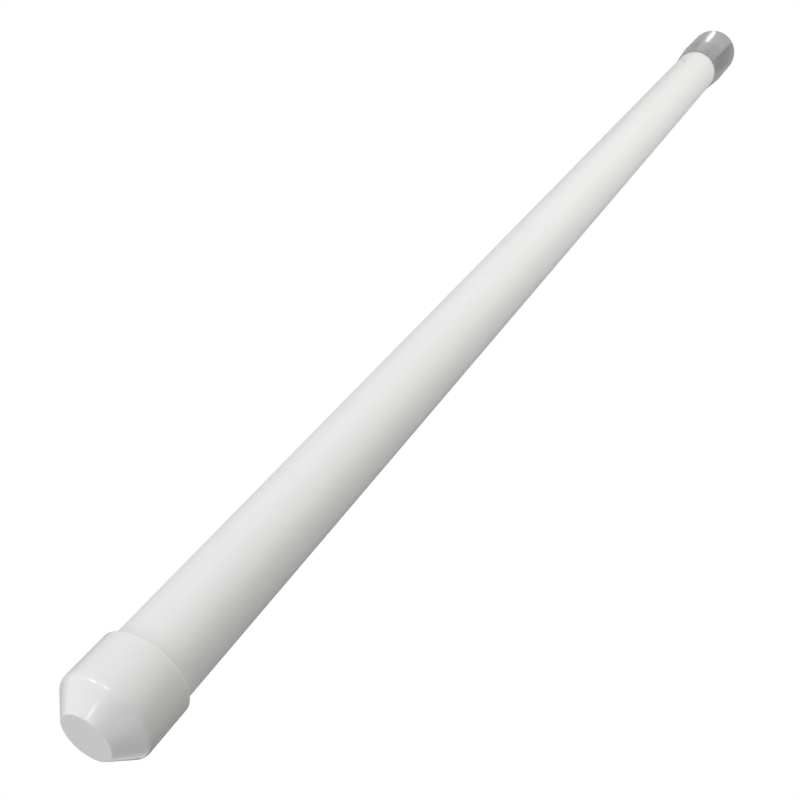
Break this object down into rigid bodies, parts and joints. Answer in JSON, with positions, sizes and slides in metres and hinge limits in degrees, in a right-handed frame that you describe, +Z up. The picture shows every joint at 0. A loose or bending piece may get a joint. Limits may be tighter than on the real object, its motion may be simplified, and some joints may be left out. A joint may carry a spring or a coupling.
{
  "type": "omnidirectional antenna",
  "caption": "Vertical base-station omni antenna: white fibreglass radome tube with a bevelled top cap, metal clamp sleeve and a coaxial socket below.",
  "frame": {"origin": "on the antenna's axis, at the middle of the base sleeve's cylindrical clamping barrel", "axes": "+Z up the antenna's axis towards the top cap; the socket points to -Z; the two radome screws lie along X"},
  "size_m": [0.057, 0.057, 1.23],
  "materials": {
    "radome_gelcoat": "satin",
    "cap_plastic": "satin",
    "sleeve_aluminium": "satin",
    "plug_aluminium": "satin",
    "epoxy_bond": "satin",
    "seal_rubber": "matte",
    "socket_nickel": "satin",
    "ptfe": "satin",
    "contact_gold": "polished",
    "stainless": "satin",
    "copper": "satin",
    "tinned_braid": "satin",
    "cable_jacket_brown": "satin",
    "shrink_black": "matte",
    "brass_tube": "satin",
    "former_grp": "matte",
    "solder": "satin",
    "acetal": "satin",
    "foam": "matte"
  },
  "bodies": {
    "root": {"base_plug": "plug_aluminium", "base_sleeve": "sleeve_aluminium", "cable_braid": "tinned_braid", "cable_conductor": "copper", "cable_dielectric": "ptfe", "cable_ferrule": "socket_nickel", "cable_jacket": "cable_jacket_brown", "cap_bond": "epoxy_bond", "centring_disc_1": "foam", "centring_disc_2": "foam", "centring_disc_3": "foam", "centring_disc_4": "foam", "centring_disc_5": "foam", "coil_solder": "solder", "dipole_skirt": "brass_tube", "feed_ferrule": "brass_tube", "feed_insulator": "ptfe", "flange_screws": "stainless", "flange_washers": "stainless", "former_pins": "stainless", "heat_shrink": "shrink_black", "phasing_coil_1": "copper", "phasing_coil_2": "copper", "phasing_former_1": "former_grp", "phasing_former_2": "former_grp", "plug_o_ring": "seal_rubber", "radiator_lower": "brass_tube", "radiator_middle": "brass_tube", "radiator_tip_plug": "ptfe", "radiator_upper": "brass_tube", "radome_screws": "stainless", "radome_tube": "radome_gelcoat", "skirt_collar": "brass_tube", "skirt_disc": "foam", "skirt_spacer_1": "ptfe", "skirt_spacer_2": "ptfe", "sleeve_bond": "epoxy_bond", "socket_body": "socket_nickel", "socket_contact": "contact_gold", "socket_gasket": "seal_rubber", "socket_insulator": "ptfe", "support_bush": "acetal", "top_cap": "cap_plastic", "top_pad": "foam"}
  },
  "joints": []
}
